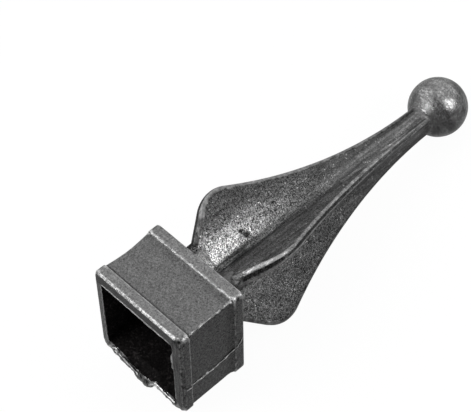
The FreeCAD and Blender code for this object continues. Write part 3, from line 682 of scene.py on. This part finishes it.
def edge_wear():
    """Where edges are worn bright, and painted shade in inside corners, broken up by noise."""
    s, given, made = shader_group(
        "edge_wear", [("Place", "NodeSocketVector", None), ("Reach", "NodeSocketFloat", 0.25),
                      ("Break up", "NodeSocketFloat", 0.5)], ["Worn", "Corner shade"])
    patch = s.add("ShaderNodeTexNoise", Vector=given["Place"], Scale=900.0, Detail=3.0)
    broken = s.times(given["Break up"], s.sum("SUBTRACT", patch.outputs["Fac"], 0.5))
    for label, name in (("Worn", "edge_wear"), ("Corner shade", "inside_corner_shade")):
        value = s.add("ShaderNodeAttribute", {"attribute_name": name, "attribute_type": "GEOMETRY"})
        near = s.sum("ADD", s.sum("DIVIDE", value.outputs["Fac"], given["Reach"]), broken)
        s.feed(made[label], s.ramp(near, 0.3, 1.0))
    return s.tree


GRAIN_GROUP = cast_grain()
WEAR_GROUP = edge_wear()


def placed_group(s, tree, **values):
    node = s.add("ShaderNodeGroup")
    node.node_tree = tree
    for key, value in values.items():
        s.feed(node.inputs[key.replace("_", " ")], value)
    return node.outputs


def raw_casting():
    material = bpy.data.materials.new("raw_casting")
    material.use_nodes = True
    s = Nodes(material.node_tree)
    rise, ramp, times, less, more, between = s.rise, s.ramp, s.times, s.less, s.more, s.between
    surface = s.nodes["Principled BSDF"]
    place = s.add("ShaderNodeTexCoord").outputs["Object"]
    x, y, z = s.add("ShaderNodeSeparateXYZ", Vector=place).outputs[:3]
    grain = placed_group(s, GRAIN_GROUP, Place=place, Grain=CRYSTAL * MM)
    wear = placed_group(s, WEAR_GROUP, Place=place, Reach=0.35, Break_up=0.9)

    def marked(name):
        settings = {"attribute_name": name, "attribute_type": "GEOMETRY"}
        return s.add("ShaderNodeAttribute", settings).outputs["Fac"]

    def drawn_out(scale):
        # noise stretched along the axes with the smaller numbers
        stretch = s.add("ShaderNodeMapping", Vector=place, Scale=scale)
        return s.add("ShaderNodeTexNoise", Vector=stretch.outputs[0], Scale=1.0, Detail=3.0).outputs["Fac"]

    # places on the socket: its bands, the mouth, the torn side and the side away from the light, which gets
    # painted shade
    ball = rise(z, 84.9, 86.2)
    cup = rise(z, 17.6, 16.6)
    front = rise(y, -11.9, -12.15)
    band = times(s.greatest(rise(z, 2.7, 2.6), rise(z, 14.45, 14.6)), cup)
    band_foot = times(rise(z, 2.0, 2.4), rise(z, 3.1, 2.8), front)
    # painted shade in the groove where the mouth's band meets the wall
    groove_shade = times(rise(z, 2.62, 2.76), rise(z, 3.25, 2.95), front)
    # painted shade on the wall just under the collar
    shade_under_collar = times(rise(z, 12.2, 13.6), rise(z, 14.5, 14.3))
    mouth_face = rise(z, 0.35, 0.2)
    mouth_top = times(mouth_face, rise(y, -9.1, -9.6), rise(x, 10.6, 9.6))
    mouth_side = times(mouth_face, rise(x, 9.8, 10.4))
    outermost = s.greatest(s.sum("ABSOLUTE", x), times(y, -1.0))
    # painted highlights along the mouth's outer edge, strongest on the -y side, and along the collar's lower
    # edge on the -y side
    mouth_edge_highlight = times(rise(outermost, 12.15, 12.3), rise(z, 0.6, 0.35), rise(y, -11.5, -12.1, 0.25, 1.0))
    collar_edge_highlight = times(rise(z, 14.2, 14.45), rise(z, 14.9, 14.65), rise(y, -12.0, -12.2))
    torn_side = times(rise(y, 13.0, 13.6), rise(z, 2.9, 2.5))
    # painted shade on the +x wall and its bands, with its grain made stronger
    painted_shade_side = times(rise(x, 11.9, 12.2), cup)

    # places on the spear: the front fin, the valleys, the flanks on both sides of one, the neck
    spear = times(rise(z, 16.6, 17.6), less(ball, 1.0))
    aside, across = s.sum("ADD", x, y), s.sum("SUBTRACT", x, y)
    front_fin = rise(times(across, math.sqrt(0.5)), 2.5, 5.0)
    from_walls = s.sum("MINIMUM", s.sum("ABSOLUTE", x), s.sum("ABSOLUTE", y))
    valley = times(spear, rise(from_walls, 2.0, 0.9), rise(z, 46, 26))
    root = times(rise(z, 42, 20), spear, rise(from_walls, 8.5, 3.0))
    neck = times(spear, rise(z, 50, 62))
    dark_flank = times(spear, rise(aside, -0.4, -0.9), rise(x, -0.2, 0.8))
    lit_flank = times(rise(across, 0.6, 1.1), rise(x, -0.7, -1.5), spear)

    # painted shade lowers the lit flank, and a painted highlight makes it brightest beside the collar, along
    # a line that runs up it
    highlight_at, highlight_scale = Vector((-2.6, -5.0, 19.0)) * MM, Vector((1.7, 1.7, 0.34))
    centred = s.add("ShaderNodeMapping", Vector=place, Location=-highlight_at * highlight_scale, Scale=highlight_scale)
    off_highlight = s.gap(centred.outputs[0], (0.0, 0.0, 0.0))
    painted_flank_highlight = times(s.sum("POWER", rise(off_highlight, 12.5, 0.5), 2.0), lit_flank,
                  s.sum("ADD", 0.3, grain["Crystal"]))

    # marks: turned lines round the ball, drawn streaks on the spear, file marks on the mouth
    turned = drawn_out((120, 120, 2600))
    smears = drawn_out((330, 300, 420))
    streaks = drawn_out((1100, 1100, 90))
    file_marks = drawn_out((2400, 160, 2400))
    filed = s.greatest(times(mouth_face, rise(x, 9.6, 10.2)), times(rise(x, 11.9, 12.1), rise(z, 1.4, 0.9)))
    along_edge = s.add("ShaderNodeCombineXYZ", X=times(aside, 3200.0), Y=times(z, 120.0), Z=times(x, 40.0))
    edge_lines = s.add("ShaderNodeTexNoise", Vector=along_edge.outputs[0], Scale=1.0,
                       Detail=2.0).outputs["Fac"]

    # rims of the fins: bevels are marked above 0, the middle of an edge and the flash below 0. The bevels get
    # a painted highlight, strongest on the front fin, and painted shade by the feet and on the far fins; the
    # middle of an edge gets a painted shade line, and the same mark darkens the beads of flash
    rim = marked("rim_mark")
    on_bevel, mid_edge = s.greatest(rim, 0.0), s.greatest(times(rim, -1.0), 0.0)
    faded = times(rise(z, 84, 62, 0.25, 1.0), rise(z, 21.6, 23.4), rise(z, 34, 28, 0.55, 1.0))
    painted_rim_highlight = times(on_bevel, faded, between(front_fin, 0.12, 1.0))
    far_rim_shade = times(on_bevel, less(front_fin, 1.0))
    edge_shade_and_dark_flash = times(mid_edge, rise(z, 70, 45, 0.45, 1.0))
    foot_shade = times(on_bevel, rise(z, 23.3, 22.4))

    # ball: a painted reflection makes it paler toward its outline, and painted shade darkens it underneath
    painted_outline_sheen = s.add("ShaderNodeLayerWeight", Blend=0.5).outputs["Facing"]
    under = s.add("ShaderNodeVectorMath", {"operation": "DOT_PRODUCT"}, Vector=place)
    under.inputs[1].default_value = (0.55, 0.63, -0.55)
    painted_underside_shade = times(ball, rise(under.outputs["Value"], -50.0, -45.5))
    ball_marks = times(ramp(turned, 0.3, 0.7, 1.15, 1.75), ramp(smears, 0.36, 0.64, 0.75, 1.55))

    tone = between(spear, ramp(grain["Mottle"], 0.0, 1.0, *SOCKET_TONE),
                   ramp(grain["Mottle"], 0.0, 1.0, *SPEAR_TONE))
    crystals = times(s.sum("SUBTRACT", grain["Crystal"], 0.5), between(spear, 0.55, 1.6), less(neck, 0.6))
    soft = times(s.sum("SUBTRACT", grain["Soft"], 0.5), between(spear, 0.95, 0.55))
    uneven = times(s.sum("ADD", crystals, soft), between(painted_shade_side, 1.0, 2.2), between(dark_flank, 1.0, 1.25))
    tone = times(
        tone, s.sum("ADD", 1.0, uneven),
        between(spear, 1.1, ramp(streaks, 0.3, 0.7, 0.7, 1.05)),
        between(dark_flank, 1.0, ramp(streaks, 0.35, 0.65, 0.85, 1.6)),
        between(neck, 1.0, ramp(streaks, 0.35, 0.65, 0.8, 1.25)),
        between(ball, 1.0, ball_marks), between(ball, 1.0, ramp(painted_outline_sheen, 0.5, 0.95, 0.97, 1.8)),
        between(filed, 1.0, ramp(file_marks, 0.38, 0.62, 0.25, 1.7)))
    specks = times(grain["Specks"], between(spear, 0.5, 2.4), less(ball, 1.0))
    for mask, share in ((band, 0.35), (painted_flank_highlight, 7.6), (root, 0.35), (specks, 1.0), (neck, 0.15)):
        tone = times(tone, more(mask, share))
    # painted shade in the valleys between the fins, broken by streaks
    valley_shade = ramp(streaks, 0.4, 0.6, 0.7, 0.1)
    for mask, share in (
            (mouth_face, 0.15), (mouth_top, 0.55), (mouth_side, 0.5), (shade_under_collar, 0.22), (torn_side, 0.8),
            (painted_shade_side, 0.38), (times(painted_shade_side, band), 0.25), (lit_flank, 0.42), (valley, valley_shade),
            (edge_shade_and_dark_flash, 0.6), (foot_shade, 0.6), (far_rim_shade, 0.75), (painted_underside_shade, 0.45)):
        tone = times(tone, less(mask, share))
    tone = s.sum("ADD", tone, times(painted_rim_highlight, ramp(edge_lines, 0.4, 0.6, 0.0, 0.085)))

    # bright metal on worn edges, less of it on beads of flash, painted highlights on the mouth's and the
    # collar's edges and on a few spots, and painted shade in inside corners, the groove and pits
    reached = s.greatest(less(mid_edge, 1.7), 0.0)
    worn = times(wear["Worn"], less(rise(z, 76, 82), 0.85), less(band_foot, 0.45), less(spear, 0.4), reached)
    edges = times(s.greatest(mouth_edge_highlight, times(collar_edge_highlight, 0.3)), ramp(grain["Soft"], 0.3, 0.7, 0.0, 0.33))
    spot_highlight = 0.0
    for centre, radius in HIGHLIGHT_SPOTS:
        off = s.gap(place, tuple(v * MM for v in centre))
        spot_highlight = s.greatest(spot_highlight, rise(off, radius, 0.3 * radius))
    wear_and_highlights = s.greatest(s.greatest(worn, edges), times(spot_highlight, ramp(grain["Soft"], 0.2, 0.6, 0.3, 1.0)))
    tone = s.sum("ADD", tone, times(wear_and_highlights, BRIGHT_METAL))
    painted_corner_shade = times(wear["Corner shade"], rise(z, 80, 74))
    tone = times(tone, less(groove_shade, 0.5), less(grain["Pits"], 0.7), less(painted_corner_shade, 0.75),
                 ramp(marked("pitted"), 0.1, 0.7, 1.0, 0.08))

    colour = s.add("ShaderNodeCombineColor", Red=tone, Green=tone, Blue=tone)
    s.feed(surface.inputs["Base Color"], colour.outputs[0])
    surface.inputs["Metallic"].default_value = 0.95
    roughness = ramp(grain["Mottle"], 0.0, 1.0, *ROUGHNESS)
    s.feed(surface.inputs["Roughness"], between(ball, roughness, BALL_ROUGHNESS))
    coarse = between(ball, between(spear, 0.6, 1.0), 0.55)
    height = s.sum("ADD", times(grain["Height"], coarse), times(ball, turned, 0.25))
    bump = s.add("ShaderNodeBump", Height=height, Distance=SKIN_DEPTH * MM)
    s.feed(surface.inputs["Normal"], bump.outputs[0])
    return material


def core_skin():
    material = bpy.data.materials.new("core_skin")
    material.use_nodes = True
    s = Nodes(material.node_tree)
    surface = s.nodes["Principled BSDF"]
    place = s.add("ShaderNodeTexCoord").outputs["Object"]
    grain = placed_group(s, GRAIN_GROUP, Place=place, Grain=CORE_CRYSTAL * MM)
    speckle = s.times(s.sum("POWER", grain["Crystal"], 3.0), grain["Mottle"])
    tone = s.times(CORE_TONE, s.sum("ADD", 0.25, s.times(speckle, 2.2)))
    colour = s.add("ShaderNodeCombineColor", Red=s.times(tone, 1.12), Green=tone, Blue=tone)
    s.feed(surface.inputs["Base Color"], colour.outputs[0])
    surface.inputs["Specular IOR Level"].default_value = 0.06
    surface.inputs["Roughness"].default_value = CORE_ROUGHNESS
    bump = s.add("ShaderNodeBump", Height=grain["Height"], Distance=CORE_DEPTH * MM)
    s.feed(surface.inputs["Normal"], bump.outputs[0])
    return material


raw_iron = raw_casting()
spear_mesh = made_by(spear_tree(raw_iron), name="spear")
united_mesh = united(socket_mesh(), bead_meshes(raw_iron) + feet_meshes + [spear_mesh, ball_mesh()])
casting_mesh = made_by(skin_tree(raw_iron), base=united_mesh, name="casting")
casting = bpy.data.objects.new("casting", casting_mesh)
bpy.context.scene.collection.objects.link(casting)
casting_mesh.materials.clear()
casting_mesh.materials.append(raw_iron)
casting_mesh.materials.append(core_skin())
for polygon in casting_mesh.polygons:
    polygon.use_smooth = True
    x, y, z = polygon.center / MM
    torn_back = np.interp(x, *np.array(SCOOP).T) if z < LIP_HEIGHT else 0.0
    in_hollow = (CORE_LOW[0] < x < CORE_HIGH[0] and CORE_LOW[1] < y < CORE_HIGH[1] + torn_back
                 and CORE_LOW[2] < z < CORE_HIGH[2])
    polygon.material_index = int(in_hollow)
casting_mesh.set_sharp_from_angle(angle=math.radians(SHARP_ANGLE))
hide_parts("finial_casting")
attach(casting, "root")


# Camera: where the photograph was taken from, below the mouth and in front of -y. The three
# directions are its own axes, and the lens and place come from the fit to the photograph.
RIGHT = Vector((0.69915, 0.01182, 0.71488))
UP = Vector((-0.55044, -0.62921, 0.54873))
BACK = Vector((0.45629, -0.77714, -0.43341))
CAMERA_PLACE = Vector((0.14324, -0.26402, -0.10856))
LENS, SENSOR = 119.89, 36.0


def stand(thing, right, up, back, place):
    """Turns an object to three axes and moves it to its place, in metres."""
    rows = [(right[i], up[i], back[i], place[i]) for i in range(3)]
    thing.matrix_world = Matrix(rows + [(0, 0, 0, 1)])


camera_data = bpy.data.cameras.new("camera")
camera_data.sensor_width = SENSOR
camera_data.lens = LENS
camera = bpy.data.objects.new("camera", camera_data)
bpy.context.scene.collection.objects.link(camera)
stand(camera, RIGHT, UP, BACK, CAMERA_PLACE)
bpy.context.scene.camera = camera


# Table: a sheet of white paper that the casting lies on with its ragged side. Seen from
# behind it is clear, so that the far sides of the casting can be looked at.
TABLE_NORMAL = Vector((0.0, -0.99452, -0.10454))
TABLE_TOUCH = Vector((0.0, 16.7, 2.5)) * MM
PAPER = (0.9, 0.9, 0.9, 1)
table_right = Vector((1, 0, 0))
table_up = TABLE_NORMAL.cross(table_right)
corners = [TABLE_TOUCH + table_right * a + table_up * b for a, b in ((-1, -1), (1, -1), (1, 1), (-1, 1))]
table_mesh = bpy.data.meshes.new("table")
table_mesh.from_pydata(corners, [], [(0, 1, 2, 3)])
if table_mesh.polygons[0].normal.dot(TABLE_NORMAL) < 0:
    table_mesh.flip_normals()
table = bpy.data.objects.new("table", table_mesh)
bpy.context.scene.collection.objects.link(table)


def white_paper():
    """Nearly all white to the camera, grey to the metal, and clear to shadows and from behind."""
    material = bpy.data.materials.new("white_table")
    material.use_nodes = True
    s = Nodes(material.node_tree)
    s.nodes.remove(s.nodes["Principled BSDF"])
    sight = s.add("ShaderNodeLightPath").outputs
    back_side = s.add("ShaderNodeNewGeometry").outputs["Backfacing"]
    matt = s.add("ShaderNodeBsdfDiffuse", Color=PAPER)
    white = s.add("ShaderNodeEmission",
                  Strength=s.greatest(sight["Is Camera Ray"], s.times(sight["Is Glossy Ray"], 0.4)))
    clear = s.add("ShaderNodeBsdfTransparent")
    own_light = s.greatest(s.times(sight["Is Camera Ray"], 0.96), sight["Is Glossy Ray"])
    unseen = s.greatest(back_side, sight["Is Shadow Ray"])

    def mixed(share, first, second):
        mix = s.add("ShaderNodeMixShader")
        for socket, value in zip(mix.inputs, (share, first, second)):
            s.feed(socket, value)
        return mix.outputs[0]

    lit = mixed(own_light, matt.outputs[0], white.outputs[0])
    s.feed(s.nodes["Material Output"].inputs["Surface"], mixed(unseen, lit, clear.outputs[0]))
    return material


table_mesh.materials.append(white_paper())


# Room: white where the camera looks, and dim as light on the casting.
ROOM_LIGHT = 0.2
world = bpy.data.worlds.new("room")
world.use_nodes = True
bpy.context.scene.world = world
s = Nodes(world.node_tree)
seen = s.between(s.add("ShaderNodeLightPath").outputs["Is Camera Ray"], ROOM_LIGHT, 1.0)
s.feed(s.nodes["Background"].inputs["Strength"], seen)
s.nodes["Background"].inputs["Color"].default_value = (1, 1, 1, 1)


# Lamps: small soft boxes left and right of the camera, whose glints show on the ball, and
# large dim ones overhead, far left and behind.
LAMPS_AIM = Vector((0, 0, 0.05))
LAMPS = {
    # name: direction in camera axes (right, up, back); distance, width and height in metres; radiance
    "lamp_over": ((-0.02, 0.96, 0.28), 0.5, 1.5, 0.9, 1.05),
    "lamp_right": ((0.72, 0.20, 0.66), 0.3, 0.15, 0.12, 6.9),
    "lamp_left": ((-0.74, 0.07, 0.67), 0.3, 0.15, 0.12, 7.6),
    "lamp_far_left": ((-0.95, 0.02, 0.2), 0.4, 0.5, 0.4, 0.75),
    "lamp_behind": ((0.0, 0.1, -1.0), 0.5, 0.8, 0.8, 1.2),
}
for name, ((right, up, back), distance, width, height, radiance) in LAMPS.items():
    toward = (RIGHT * right + UP * up + BACK * back).normalized()
    data = bpy.data.lights.new(name, "AREA")
    data.shape = "RECTANGLE"
    data.size, data.size_y = width, height
    data.energy = radiance * math.pi * width * height
    lamp = bpy.data.objects.new(name, data)
    lamp.visible_camera = False
    bpy.context.scene.collection.objects.link(lamp)
    overhead = abs(up) > 0.9
    side = RIGHT if overhead else UP.cross(toward).normalized()
    stand(lamp, side, toward.cross(side).normalized(), toward, LAMPS_AIM + toward * distance)
bpy.context.scene.view_settings.view_transform = "Standard"
